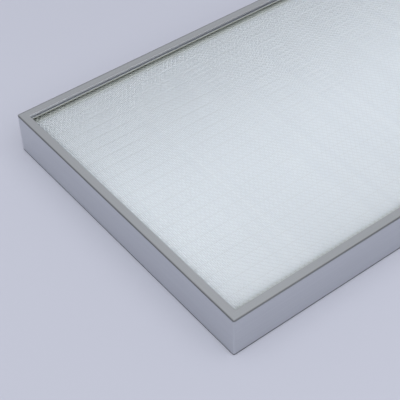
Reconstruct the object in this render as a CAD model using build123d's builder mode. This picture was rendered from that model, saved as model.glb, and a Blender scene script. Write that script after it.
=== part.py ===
from build123d import *
import os

# Panel air filter: a mitred aluminium frame round a pleated pack between two face guards.
# Origin at the middle of the underside, X along the long side, Y along the short side, Z up.

# Overall size
length = 1220.0
width = 610.0
height = 80.0

# Extruded frame rail, the same section on all four sides
wall = 2.0
lip_reach = 16.0
lip_thickness = 1.5
rib_drop = 6.0
rib_thickness = 1.4
rib_reach = 18.0
web_inset = 11.0
web_thickness = 1.2
edge_radius = 0.4
groove_drop = 0.4
groove_width = 1.6
groove_depth = 1.1
corner_radius = 3.0

# Flat corner brackets that slide into the chambers between lip and rib
bracket_arm = 45.0
bracket_clearance = 0.2
bracket_lead_in = 2.5
stake_hole = 4.0

# Pleated pack, face guards and the sealant that holds their edges
edge_inset = 8.0
guard_drop = 12.5
guard_thickness = 1.0
bead_height = 0.6
bead_width = 1.6
bead_pitch = 25.4
pleat_pitch = 4.45
paper_thickness = 0.45
sealant_face = 14.0

# Net of the face guards, whole openings along each side
net_columns = 10
net_rows = 5
strand_width = 2.4
guard_margin = 1.0

# Places that follow from the sizes above
chamber_height = rib_drop - lip_thickness
chamber_width = web_inset - wall
channel_drop = rib_drop + rib_thickness
guard_length = length - 2 * edge_inset
guard_width = width - 2 * edge_inset
pack_drop = guard_drop + guard_thickness + bead_height
pack_depth = height - 2 * pack_drop


def rail_section():
    """Section of the rail: X is the way inwards from the outer face, Y is up."""
    with BuildSketch() as section:
        with Locations((0, height / 2)):
            Rectangle(wall, height, align=(Align.MIN, Align.CENTER))
        for edge, side in ((height, Align.MAX), (0, Align.MIN)):
            with Locations((0, edge)):
                Rectangle(lip_reach, lip_thickness, align=(Align.MIN, side))
        with Locations((0, height - rib_drop)):
            Rectangle(rib_reach, rib_thickness, align=(Align.MIN, Align.MAX))
        with Locations((0, rib_drop)):
            Rectangle(rib_reach, rib_thickness, align=(Align.MIN, Align.MIN))
        for edge, side in ((height, Align.MAX), (0, Align.MIN)):
            with Locations((web_inset, edge)):
                Rectangle(web_thickness, channel_drop, align=(Align.MIN, side))
        outer_corners = section.vertices().group_by(Axis.X)[0]
        fillet(outer_corners, radius=edge_radius)
        lip_noses = section.vertices().group_by(Axis.X)[-2]
        fillet(lip_noses, radius=edge_radius)
        rib_noses = section.vertices().group_by(Axis.X)[-1]
        fillet(rib_noses, radius=edge_radius)
        for middle in (groove_drop + groove_width / 2, height - groove_drop - groove_width / 2):
            with Locations((0, middle)):
                Rectangle(groove_depth, groove_width, align=(Align.MIN, Align.CENTER), mode=Mode.SUBTRACT)
    return section.sketch


def mitred(section, run):
    """A bar of the section along X, its outer face on Y = 0 and both ends cut at 45 degrees."""
    with BuildPart() as bar:
        with BuildSketch(Plane(origin=(-run / 2, 0, 0), x_dir=(0, 1, 0), z_dir=(1, 0, 0))):
            add(section)
        extrude(amount=run)
        split(bisect_by=Plane(origin=(-run / 2, 0, 0), z_dir=(1, -1, 0)), keep=Keep.TOP)
        split(bisect_by=Plane(origin=(run / 2, 0, 0), z_dir=(-1, -1, 0)), keep=Keep.TOP)
    return bar.part


# The four sides: name, length of the side, middle of its outer face, turn about Z
sides = (
    ("front", length, (0, -width / 2), 0),
    ("right", width, (length / 2, 0), 90),
    ("back", length, (0, width / 2), 180),
    ("left", width, (-length / 2, 0), 270),
)

# Frame rails, each a length of extrusion mitred at both ends
rails = []
for side, run, middle, turn in sides:
    with BuildPart() as rail:
        with Locations(Location((*middle, 0), (0, 0, turn))):
            add(mitred(rail_section(), run))
        with BuildSketch():
            RectangleRounded(length, width, corner_radius)
        extrude(amount=height, mode=Mode.INTERSECT)
    rail.part.label = f"rail_{side}"
    rails.append(rail.part)

# Sealant poured into the channel of each rail, with a recess for the edges of pack and guards
with BuildSketch() as sealant_section:
    with Locations((wall, height / 2)):
        Rectangle(sealant_face - wall, height - 2 * channel_drop, align=(Align.MIN, Align.CENTER))
    with Locations((edge_inset, height / 2)):
        Rectangle(sealant_face - edge_inset, height - 2 * guard_drop, align=(Align.MIN, Align.CENTER),
                  mode=Mode.SUBTRACT)

sealants = []
for side, run, middle, turn in sides:
    with BuildPart() as sealant:
        with Locations(Location((*middle, 0), (0, 0, turn))):
            add(mitred(sealant_section.sketch, run))
    sealant.part.label = f"sealant_{side}"
    sealants.append(sealant.part)

# Corner brackets, a flat angle in each of the eight places where the chambers of two rails meet
bracket_inset = wall + bracket_clearance
bracket_width = chamber_width - 2 * bracket_clearance
bracket_thickness = chamber_height - 2 * bracket_clearance
bracket_levels = (
    ("top", height - rib_drop + bracket_clearance),
    ("bottom", lip_thickness + bracket_clearance),
)
bracket_corners = (
    ("front_left", -1, -1),
    ("front_right", 1, -1),
    ("back_right", 1, 1),
    ("back_left", -1, 1),
)
brackets = []
for level, underside in bracket_levels:
    for corner, x_side, y_side in bracket_corners:
        corner_x = x_side * (length / 2 - bracket_inset)
        corner_y = y_side * (width / 2 - bracket_inset)
        with BuildPart() as bracket:
            with BuildSketch(Plane.XY.offset(underside)) as plate:
                x_align = Align.MAX if x_side > 0 else Align.MIN
                y_align = Align.MAX if y_side > 0 else Align.MIN
                with Locations((corner_x, corner_y)):
                    Rectangle(bracket_arm, bracket_width, align=(x_align, y_align))
                    Rectangle(bracket_width, bracket_arm, align=(x_align, y_align))
                arm_tips = plate.vertices().filter_by(
                    lambda v: max(abs(v.X - corner_x), abs(v.Y - corner_y)) > bracket_arm - bracket_clearance)
                chamfer(arm_tips, length=bracket_lead_in)
                outer_corner = plate.vertices().sort_by_distance((corner_x, corner_y))[0]
                chamfer(outer_corner, length=bracket_lead_in)
                hole_across = bracket_width / 2
                hole_along = bracket_arm - bracket_width / 2
                with Locations((corner_x - x_side * hole_along, corner_y - y_side * hole_across),
                               (corner_x - x_side * hole_across, corner_y - y_side * hole_along)):
                    Circle(stake_hole / 2, mode=Mode.SUBTRACT)
            extrude(amount=bracket_thickness)
        bracket.part.label = f"corner_bracket_{level}_{corner}"
        brackets.append(bracket.part)

# Pleated media pack: one sheet folded to and fro along X, its folds running along Y
pleat_count = round(guard_length / pleat_pitch)
fold_pitch = guard_length / pleat_count
sheet_drop = paper_thickness * pack_depth / (fold_pitch / 2)
half_folds = range(2 * pleat_count + 1)
pack_top = height - pack_drop
upper_line = [
    (-guard_length / 2 + k * fold_pitch / 2, pack_top if k % 2 else pack_drop + sheet_drop) for k in half_folds
]
lower_line = [
    (-guard_length / 2 + k * fold_pitch / 2, pack_top - sheet_drop if k % 2 else pack_drop) for k in half_folds
]
with BuildPart() as media_pack:
    with BuildSketch(Plane.XZ.offset(-guard_width / 2)):
        with BuildLine():
            Polyline(*upper_line, *reversed(lower_line), close=True)
        make_face()
    extrude(amount=guard_width)
media_pack.part.label = "media_pack"

# Hot-melt separator beads, parallel strings across the fold tips on both faces of the pack
bead_count = int((guard_width - 2 * bead_pitch / 2) // bead_pitch) + 1
bead_sets = []
for level, underside in (("top", pack_top), ("bottom", pack_drop - bead_height)):
    with BuildPart() as beads:
        with BuildSketch(Plane.XY.offset(underside)):
            with GridLocations(0, bead_pitch, 1, bead_count):
                Rectangle(guard_length, bead_width)
        extrude(amount=bead_height)
    beads.part.label = f"separator_beads_{level}"
    bead_sets.append(beads.part)

# Face guards, a net of crossing strands inside a plain edge that the sealant grips
net_length = length - 2 * (sealant_face + guard_margin)
net_width = width - 2 * (sealant_face + guard_margin)
cell_length = net_length / net_columns
cell_width = net_width / net_rows
strand_slope = (cell_length ** 2 + cell_width ** 2) ** 0.5
opening_length = cell_length - strand_width * strand_slope / cell_width
opening_width = cell_width - strand_width * strand_slope / cell_length
with BuildSketch() as net_openings:
    for columns, rows in ((net_columns, net_rows), (net_columns + 1, net_rows + 1)):
        with GridLocations(cell_length, cell_width, columns, rows):
            Polygon((-opening_length / 2, 0), (0, -opening_width / 2), (opening_length / 2, 0),
                    (0, opening_width / 2))
    Rectangle(net_length, net_width, mode=Mode.INTERSECT)

guards = []
for level, underside in (("top", height - guard_drop - guard_thickness), ("bottom", guard_drop)):
    with BuildPart() as guard:
        with BuildSketch(Plane.XY.offset(underside)):
            Rectangle(guard_length, guard_width)
            add(net_openings.sketch, mode=Mode.SUBTRACT)
        extrude(amount=guard_thickness)
    guard.part.label = f"face_guard_{level}"
    guards.append(guard.part)

os.makedirs("parts", exist_ok=True)
for piece in (*rails, *sealants, *brackets, media_pack.part, *bead_sets, *guards):
    export_step(piece, f"parts/{piece.label}.step")
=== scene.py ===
import math

import bmesh
import bpy
from mathutils import Matrix, Vector


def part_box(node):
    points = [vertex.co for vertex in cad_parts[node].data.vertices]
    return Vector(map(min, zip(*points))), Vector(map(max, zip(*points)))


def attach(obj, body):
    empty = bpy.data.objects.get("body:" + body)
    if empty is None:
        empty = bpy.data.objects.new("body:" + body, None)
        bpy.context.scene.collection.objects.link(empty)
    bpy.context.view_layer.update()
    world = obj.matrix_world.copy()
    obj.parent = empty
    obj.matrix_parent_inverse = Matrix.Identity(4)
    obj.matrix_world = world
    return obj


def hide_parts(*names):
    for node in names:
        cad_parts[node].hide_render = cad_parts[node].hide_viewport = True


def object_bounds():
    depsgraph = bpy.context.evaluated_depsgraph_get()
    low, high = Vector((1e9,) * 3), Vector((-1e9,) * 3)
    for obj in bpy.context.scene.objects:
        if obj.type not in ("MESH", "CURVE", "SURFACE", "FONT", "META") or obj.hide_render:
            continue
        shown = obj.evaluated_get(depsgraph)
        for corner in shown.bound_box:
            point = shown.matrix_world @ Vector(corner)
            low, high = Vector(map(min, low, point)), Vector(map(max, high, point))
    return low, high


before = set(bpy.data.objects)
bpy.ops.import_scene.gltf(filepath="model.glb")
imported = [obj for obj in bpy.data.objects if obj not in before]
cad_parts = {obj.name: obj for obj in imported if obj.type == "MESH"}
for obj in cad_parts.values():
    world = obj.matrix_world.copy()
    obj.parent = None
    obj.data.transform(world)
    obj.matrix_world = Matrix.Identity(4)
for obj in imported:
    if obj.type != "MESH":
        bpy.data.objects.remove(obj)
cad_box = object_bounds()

# ---------------------------------------------------------------------------
# Frame rails
# Four lengths of extruded aluminium with a mitre at each corner, satin anodised
# to an even grey. The extrusion leaves faint lines along each length. Shade is
# painted along the outer top and bottom edges, darkening the metal there.
# ---------------------------------------------------------------------------
def new_material(name):
    material = bpy.data.materials.new(name)
    material.use_nodes = True
    nodes = material.node_tree.nodes
    shader = nodes["Principled BSDF"]
    return material, nodes, material.node_tree.links, shader


def object_noise(nodes, links, stretch, scale, detail):
    """A noise on object coordinates, stretched by a factor along each axis."""
    place = nodes.new("ShaderNodeTexCoord")
    mapping = nodes.new("ShaderNodeMapping")
    mapping.inputs["Scale"].default_value = stretch
    noise = nodes.new("ShaderNodeTexNoise")
    noise.inputs["Scale"].default_value = scale
    noise.inputs["Detail"].default_value = detail
    links.new(place.outputs["Object"], mapping.inputs["Vector"])
    links.new(mapping.outputs["Vector"], noise.inputs["Vector"])
    return noise


def ramp_between(nodes, links, source, low, high, dark, light):
    """Turns a value between low and high into a colour between dark and light."""
    ramp = nodes.new("ShaderNodeValToRGB")
    ramp.color_ramp.elements[0].position = low
    ramp.color_ramp.elements[0].color = (*dark, 1)
    ramp.color_ramp.elements[1].position = high
    ramp.color_ramp.elements[1].color = (*light, 1)
    links.new(source, ramp.inputs["Fac"])
    return ramp


def bump_from(nodes, links, source, shader, strength, distance):
    bump = nodes.new("ShaderNodeBump")
    bump.inputs["Strength"].default_value = strength
    bump.inputs["Distance"].default_value = distance
    links.new(source, bump.inputs["Height"])
    links.new(bump.outputs["Normal"], shader.inputs["Normal"])


def roughness_between(nodes, links, source, shader, smooth, rough):
    spread = nodes.new("ShaderNodeMapRange")
    spread.inputs["From Min"].default_value = 0.3
    spread.inputs["From Max"].default_value = 0.7
    spread.inputs["To Min"].default_value = smooth
    spread.inputs["To Max"].default_value = rough
    links.new(source, spread.inputs["Value"])
    links.new(spread.outputs["Result"], shader.inputs["Roughness"])


def calculated(nodes, links, operation, first, second=None):
    node = nodes.new("ShaderNodeMath")
    node.operation = operation
    for socket, value in enumerate((first, second)):
        if isinstance(value, float):
            node.inputs[socket].default_value = value
        elif value is not None:
            links.new(value, node.inputs[socket])
    return node.outputs["Value"]


def object_axes(nodes, links):
    place = nodes.new("ShaderNodeTexCoord")
    axes = nodes.new("ShaderNodeSeparateXYZ")
    links.new(place.outputs["Object"], axes.inputs["Vector"])
    return axes.outputs


def fading_over(nodes, links, source, length, start):
    """A value that goes smoothly from start, where source is 0, to 1 where source reaches length."""
    fading = nodes.new("ShaderNodeMapRange")
    fading.interpolation_type = "SMOOTHSTEP"
    fading.inputs["From Min"].default_value = 0.0
    fading.inputs["From Max"].default_value = length
    fading.inputs["To Min"].default_value = start
    fading.inputs["To Max"].default_value = 1.0
    links.new(source, fading.inputs["Value"])
    return fading.outputs["Result"]


def painted_edge_shade(nodes, links, outer_axis, outer_reach, darkest, fade):
    """A painted shade factor, darkest at the two outer edges of a rail and 1 further than fade metres from
    them.
    """
    axes = object_axes(nodes, links)
    along_axis = calculated(nodes, links, "ABSOLUTE", axes[outer_axis])
    inwards = calculated(nodes, links, "SUBTRACT", outer_reach, along_axis)
    from_top = calculated(nodes, links, "SUBTRACT", rail_height, axes["Z"])
    from_edges = calculated(nodes, links, "MINIMUM", axes["Z"], from_top)
    distance = calculated(nodes, links, "MAXIMUM", inwards, from_edges)
    return fading_over(nodes, links, distance, fade, darkest)


half_length, half_width, rail_height = cad_box[1]


def satin_anodised(name, stretch, outer_axis, outer_reach):
    material, nodes, links, shader = new_material(name)
    shader.inputs["Metallic"].default_value = 1.0
    lines = object_noise(nodes, links, stretch, scale=1.0, detail=3.0)
    clouds = object_noise(nodes, links, stretch=(1, 1, 1), scale=9.0, detail=2.0)
    tint = ramp_between(nodes, links, lines.outputs["Fac"], low=0.35, high=0.65,
                        dark=(0.580, 0.594, 0.618), light=(0.615, 0.630, 0.652))
    # Painted shade: the metal colour is darkened along the outer top and bottom edges of each rail.
    shade = painted_edge_shade(nodes, links, outer_axis, outer_reach, darkest=0.42, fade=0.0032)
    shaded = nodes.new("ShaderNodeVectorMath")
    shaded.operation = "SCALE"
    links.new(tint.outputs["Color"], shaded.inputs["Vector"])
    links.new(shade, shaded.inputs["Scale"])
    links.new(shaded.outputs["Vector"], shader.inputs["Base Color"])
    roughness_between(nodes, links, clouds.outputs["Fac"], shader, smooth=0.29, rough=0.33)
    bump_from(nodes, links, lines.outputs["Fac"], shader, strength=0.03, distance=0.0002)
    return material


anodised_long = satin_anodised("satin_anodised_long", (4, 900, 900), "Y", half_width)
anodised_short = satin_anodised("satin_anodised_short", (900, 4, 900), "X", half_length)
for rail, finish in (("rail_front", anodised_long), ("rail_back", anodised_long),
                     ("rail_left", anodised_short), ("rail_right", anodised_short)):
    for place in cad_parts[rail].material_slots:
        place.material = finish

# ---------------------------------------------------------------------------
# Corner brackets
# Flat angles of zinc plated steel pushed into the closed chambers of the rails,
# one above and one below at each corner. They hold the mitres and stay hidden.
# ---------------------------------------------------------------------------
zinc, nodes, links, shader = new_material("zinc_plate")
shader.inputs["Metallic"].default_value = 1.0
spangle = object_noise(nodes, links, stretch=(1, 1, 1), scale=320.0, detail=2.0)
tint = ramp_between(nodes, links, spangle.outputs["Fac"], low=0.35, high=0.65,
                    dark=(0.42, 0.44, 0.46), light=(0.55, 0.57, 0.60))
links.new(tint.outputs["Color"], shader.inputs["Base Color"])
roughness_between(nodes, links, spangle.outputs["Fac"], shader, smooth=0.3, rough=0.5)
for level in ("top", "bottom"):
    for corner in ("front_left", "front_right", "back_right", "back_left"):
        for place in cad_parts[f"corner_bracket_{level}_{corner}"].material_slots:
            place.material = zinc

# ---------------------------------------------------------------------------
# Sealant
# Two-part polyurethane poured into the channel of each rail, where it sets
# round the edges of the pack and the guards. Pale greyish olive, slightly glossy.
# ---------------------------------------------------------------------------
sealant, nodes, links, shader = new_material("polyurethane_sealant")
shader.inputs["Specular IOR Level"].default_value = 0.4
flow = object_noise(nodes, links, stretch=(1, 1, 1), scale=60.0, detail=3.0)
tint = ramp_between(nodes, links, flow.outputs["Fac"], low=0.3, high=0.7,
                    dark=(0.80, 0.82, 0.74), light=(0.87, 0.89, 0.81))
links.new(tint.outputs["Color"], shader.inputs["Base Color"])
roughness_between(nodes, links, flow.outputs["Fac"], shader, smooth=0.35, rough=0.5)
bump_from(nodes, links, flow.outputs["Fac"], shader, strength=0.4, distance=0.0008)
for side in ("front", "right", "back", "left"):
    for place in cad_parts[f"sealant_{side}"].material_slots:
        place.material = sealant

# ---------------------------------------------------------------------------
# Pleated pack
# One sheet of glass fibre paper folded to and fro 376 times, its folds along
# the short side. Matt white, with painted shadow near the long rails at the fold ends.
# ---------------------------------------------------------------------------
# Width and soft start of the painted shadow that the long rails cast on the pack and guards.
rail_shadow_width = 0.024
rail_shadow_fade = 0.010


def painted_rail_shadow(nodes, links, tint, reach):
    """The tint with painted shadow over rail_shadow_width at both ends along Y, with a soft start of
    rail_shadow_fade.
    """
    sideways = calculated(nodes, links, "ABSOLUTE", object_axes(nodes, links)["Y"])
    past_start = calculated(nodes, links, "SUBTRACT", sideways, reach - rail_shadow_width)
    rail_shadow_amount = fading_over(nodes, links, past_start, length=rail_shadow_fade, start=0.0)
    # Painted shadow: next to the long rails the colour is darkened and tinted olive grey.
    unshadowed, shadowed_colour = (1.0, 1.0, 1.0), (0.74, 0.745, 0.68)
    shadow_colour_factor = ramp_between(nodes, links, rail_shadow_amount, 0.0, 1.0, unshadowed, shadowed_colour)
    shadowed_tint = nodes.new("ShaderNodeVectorMath")
    shadowed_tint.operation = "MULTIPLY"
    links.new(tint.outputs["Color"], shadowed_tint.inputs[0])
    links.new(shadow_colour_factor.outputs["Color"], shadowed_tint.inputs[1])
    return shadowed_tint.outputs["Vector"]


low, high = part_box("media_pack")
paper, nodes, links, shader = new_material("glass_fibre_paper")
shader.inputs["Roughness"].default_value = 0.9
shader.inputs["Specular IOR Level"].default_value = 0.2
shader.inputs["Subsurface Weight"].default_value = 0.7
shader.inputs["Subsurface Radius"].default_value = (1.0, 1.0, 1.0)
shader.inputs["Subsurface Scale"].default_value = 0.0014
fibres = object_noise(nodes, links, stretch=(1, 1, 1), scale=700.0, detail=4.0)
folds = object_noise(nodes, links, stretch=(90, 1.5, 4), scale=1.0, detail=1.0)
tint = ramp_between(nodes, links, folds.outputs["Fac"], low=0.3, high=0.7,
                    dark=(0.84, 0.895, 0.955), light=(0.87, 0.925, 0.98))
# The paper colour carries the painted shadow along the long rails.
links.new(painted_rail_shadow(nodes, links, tint, high.y), shader.inputs["Base Color"])
bump_from(nodes, links, fibres.outputs["Fac"], shader, strength=0.35, distance=0.0003)

fold_count = 376
paper_thickness = 0.0004
loop_radius = 0.00145
fold_pitch = (high.x - low.x) / fold_count
bend_radius = loop_radius - paper_thickness / 2
valley_height = low.z + loop_radius
crest_height = high.z - loop_radius


def paper_bend(fold, verts, centre_x, centre_z, angle, steps):
    centre = (centre_x, low.y, centre_z)
    bent = bmesh.ops.spin(fold, geom=verts, cent=centre, axis=(0, 1, 0), angle=angle, steps=steps)
    return [item for item in bent["geom_last"] if isinstance(item, bmesh.types.BMVert)]


def paper_leg(fold, verts, shift_x, shift_z):
    grown = bmesh.ops.extrude_vert_indiv(fold, verts=verts)["verts"]
    bmesh.ops.translate(fold, verts=grown, vec=(shift_x, 0, shift_z))
    return grown


def finished_piece(name, shape, material):
    """An object in one material, made of the shape built so far."""
    mesh = bpy.data.meshes.new(name)
    shape.to_mesh(mesh)
    shape.free()
    mesh.materials.append(material)
    piece = bpy.data.objects.new(name, mesh)
    bpy.context.scene.collection.objects.link(piece)
    return piece


def repeated(piece, name, step, count, ends_meet):
    """Repeats the piece count times, each a step further on, and merges the ends where they meet."""
    row = piece.modifiers.new(name, "ARRAY")
    row.use_relative_offset = False
    row.use_constant_offset = True
    row.constant_offset_displace = step
    row.count = count
    row.use_merge_vertices = ends_meet
    row.merge_threshold = 0.00005


fold = bmesh.new()
start_x = low.x
crest_x = start_x + fold_pitch / 2
leg_lean = (start_x + bend_radius) - (crest_x - bend_radius)
leg_rise = crest_height - valley_height
edge = bmesh.ops.create_vert(fold, co=(start_x, low.y, valley_height - bend_radius))["vert"]
edge = paper_bend(fold, edge, start_x, valley_height, -math.pi / 2, 3)
edge = paper_leg(fold, edge, -leg_lean, leg_rise)
edge = paper_bend(fold, edge, crest_x, crest_height, math.pi, 7)
edge = paper_leg(fold, edge, -leg_lean, -leg_rise)
edge = paper_bend(fold, edge, start_x + fold_pitch, valley_height, -math.pi / 2, 3)
grown = bmesh.ops.extrude_edge_only(fold, edges=fold.edges)["geom"]
far_edge = [item for item in grown if isinstance(item, bmesh.types.BMVert)]
bmesh.ops.translate(fold, verts=far_edge, vec=(0, high.y - low.y, 0))
for face in fold.faces:
    face.smooth = True
pack = finished_piece("pleated_pack", fold, paper)
repeated(pack, "folds", (fold_pitch, 0, 0), fold_count, ends_meet=True)
sheet = pack.modifiers.new("paper", "SOLIDIFY")
sheet.thickness = paper_thickness
sheet.offset = 0
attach(pack, "root")
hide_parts("media_pack")

# ---------------------------------------------------------------------------
# Separator beads
# Strings of hot melt laid across the fold tips on both faces of the pack, one
# every inch, which keep the folds apart. Milky and slightly glossy.
# ---------------------------------------------------------------------------
hot_melt, nodes, links, shader = new_material("hot_melt")
shader.inputs["Specular IOR Level"].default_value = 0.45
ripples = object_noise(nodes, links, stretch=(60, 260, 60), scale=1.0, detail=2.0)
tint = ramp_between(nodes, links, ripples.outputs["Fac"], low=0.3, high=0.7,
                    dark=(0.78, 0.82, 0.86), light=(0.82, 0.86, 0.90))
links.new(tint.outputs["Color"], shader.inputs["Base Color"])
roughness_between(nodes, links, ripples.outputs["Fac"], shader, smooth=0.3, rough=0.45)
bump_from(nodes, links, ripples.outputs["Fac"], shader, strength=0.5, distance=0.0005)

bead_count = 23
bead_pitch = 0.0254
bead_width = 0.001

for level in ("top", "bottom"):
    low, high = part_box(f"separator_beads_{level}")
    string = bmesh.new()
    ring = bmesh.ops.create_circle(string, cap_ends=True, radius=0.5, segments=8)["verts"]
    bmesh.ops.rotate(string, verts=ring, cent=(0, 0, 0), matrix=Matrix.Rotation(math.pi / 2, 3, "Y"))
    bmesh.ops.scale(string, verts=ring, vec=(1, bead_width, high.z - low.z))
    first_y = (low.y + high.y) / 2 - (bead_count - 1) / 2 * bead_pitch
    bmesh.ops.translate(string, verts=ring, vec=(low.x, first_y, (low.z + high.z) / 2))
    grown = bmesh.ops.extrude_face_region(string, geom=string.faces[:], use_keep_orig=True)["geom"]
    far_ring = [item for item in grown if isinstance(item, bmesh.types.BMVert)]
    bmesh.ops.translate(string, verts=far_ring, vec=(high.x - low.x, 0, 0))
    bmesh.ops.recalc_face_normals(string, faces=string.faces)
    for face in string.faces:
        face.smooth = len(face.verts) == 4
    strings_piece = finished_piece(f"hot_melt_strings_{level}", string, hot_melt)
    repeated(strings_piece, "strings", (0, bead_pitch, 0), bead_count, ends_meet=False)
    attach(strings_piece, "root")
    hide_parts(f"separator_beads_{level}")

# ---------------------------------------------------------------------------
# Face guards
# Expanded metal above and below the pack: strands that run along the short
# side in a zigzag and meet at knuckles. White powder coating, with the same
# painted shadow along the long rails as on the pack.
# ---------------------------------------------------------------------------
guard_coating, nodes, links, shader = new_material("white_powder_coating")
shader.inputs["Specular IOR Level"].default_value = 0.25
grain = object_noise(nodes, links, stretch=(1, 1, 1), scale=900.0, detail=2.0)
patches = object_noise(nodes, links, stretch=(1, 1, 1), scale=14.0, detail=2.0)
tint = ramp_between(nodes, links, patches.outputs["Fac"], low=0.3, high=0.7,
                    dark=(0.765, 0.81, 0.86), light=(0.795, 0.84, 0.89))
low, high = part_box("face_guard_top")
# The coating colour carries the painted shadow along the long rails.
links.new(painted_rail_shadow(nodes, links, tint, high.y), shader.inputs["Base Color"])
roughness_between(nodes, links, grain.outputs["Fac"], shader, smooth=0.6, rough=0.75)
bump_from(nodes, links, grain.outputs["Fac"], shader, strength=0.2, distance=0.0001)

strand_pairs = 128
knuckle_rows = 47
strand_width = 0.0009
strand_thickness = 0.0004


def expanded_net(name, node, pack_side):
    """A net on the node's place, laid against the face that looks to the pack."""
    low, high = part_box(node)
    pair_pitch = (high.x - low.x) / strand_pairs
    long_way = (high.y - low.y) / knuckle_rows
    swing = pair_pitch / 2 - strand_width
    level = low.z + strand_thickness / 2 if pack_side == "below" else high.z - strand_thickness / 2
    net = bmesh.new()
    for turned in (False, True):
        start = bmesh.ops.create_grid(net, x_segments=1, y_segments=1, size=0.5)["verts"]
        bmesh.ops.scale(net, verts=start, vec=(strand_width, strand_thickness, 1))
        bmesh.ops.rotate(net, verts=start, cent=(0, 0, 0), matrix=Matrix.Rotation(math.pi / 2, 3, "X"))
        edge = low.x + strand_width / 2 + (pair_pitch / 2 + swing if turned else 0)
        bmesh.ops.translate(net, verts=start, vec=(edge, low.y, level))
        section = list({face for vert in start for face in vert.link_faces})
        for half in (1, -1):
            grown = bmesh.ops.extrude_face_region(net, geom=section)["geom"]
            verts = [item for item in grown if isinstance(item, bmesh.types.BMVert)]
            bmesh.ops.delete(net, geom=section, context="FACES")
            shift = half * swing * (-1 if turned else 1)
            bmesh.ops.translate(net, verts=verts, vec=(shift, long_way / 2, 0))
            section = [item for item in grown if isinstance(item, bmesh.types.BMFace)]
        bmesh.ops.delete(net, geom=section, context="FACES")
    bmesh.ops.recalc_face_normals(net, faces=net.faces)
    piece = finished_piece(name, net, guard_coating)
    repeated(piece, "strand_run", (0, long_way, 0), knuckle_rows, ends_meet=True)
    repeated(piece, "strand_pairs", (pair_pitch, 0, 0), strand_pairs, ends_meet=False)
    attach(piece, "root")
    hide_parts(node)


expanded_net("net_top", "face_guard_top", "below")
expanded_net("net_bottom", "face_guard_bottom", "above")

# ---------------------------------------------------------------------------
# Floor
# A seamless sweep of pale lavender studio paper that the panel lies on.
# ---------------------------------------------------------------------------
floor_paper, nodes, links, shader = new_material("studio_floor")
shader.inputs["Roughness"].default_value = 0.85
shader.inputs["Specular IOR Level"].default_value = 0.1
haze = object_noise(nodes, links, stretch=(1, 1, 1), scale=0.8, detail=1.0)
tint = ramp_between(nodes, links, haze.outputs["Fac"], low=0.3, high=0.7,
                    dark=(0.540, 0.552, 0.640), light=(0.560, 0.572, 0.660))
links.new(tint.outputs["Color"], shader.inputs["Base Color"])
floor_reach = 12
gap_below_panel = 0.0003
ground = bmesh.new()
bmesh.ops.create_grid(ground, x_segments=1, y_segments=1, size=floor_reach)
bmesh.ops.translate(ground, verts=ground.verts, vec=(0, 0, -gap_below_panel))
floor = finished_piece("floor", ground, floor_paper)

# ---------------------------------------------------------------------------
# Light
# An even pale surround and one very wide, weak lamp hung level overhead. It
# reaches further towards the camera, clear of the metal's reflections.
# ---------------------------------------------------------------------------
world = bpy.data.worlds.new("studio")
world.use_nodes = True
world.node_tree.nodes["Background"].inputs["Color"].default_value = (0.94, 0.965, 1.0, 1)
world.node_tree.nodes["Background"].inputs["Strength"].default_value = 0.53
bpy.context.scene.world = world

lamp = bpy.data.lights.new("overhead", "AREA")
lamp.shape = "DISK"
lamp.size = 20.0
lamp.energy = 980
lamp_holder = bpy.data.objects.new("overhead", lamp)
bpy.context.scene.collection.objects.link(lamp_holder)
lamp_holder.location = (-4.4, -5.8, 7.2)

# ---------------------------------------------------------------------------
# Camera
# Looks down across the near left corner of the panel.
# ---------------------------------------------------------------------------
camera_data = bpy.data.cameras.new("camera")
camera_data.lens = 100.13
camera_data.sensor_width = 36.0
camera = bpy.data.objects.new("camera", camera_data)
bpy.context.scene.collection.objects.link(camera)
azimuth, elevation, roll = math.radians(53.258), math.radians(44.274), math.radians(-1.735)
level_ahead = Vector((math.cos(azimuth), math.sin(azimuth), 0))
ahead = math.cos(elevation) * level_ahead - math.sin(elevation) * Vector((0, 0, 1))
level_right = ahead.cross(Vector((0, 0, 1))).normalized()
level_up = level_right.cross(ahead)
right = math.cos(roll) * level_right + math.sin(roll) * level_up
up = -math.sin(roll) * level_right + math.cos(roll) * level_up
turn = Matrix((right, up, -ahead)).transposed().to_4x4()
camera.matrix_world = Matrix.Translation((-1.2688, -1.1139, 1.3478)) @ turn
bpy.context.scene.camera = camera

bpy.context.scene.view_settings.view_transform = "Standard"
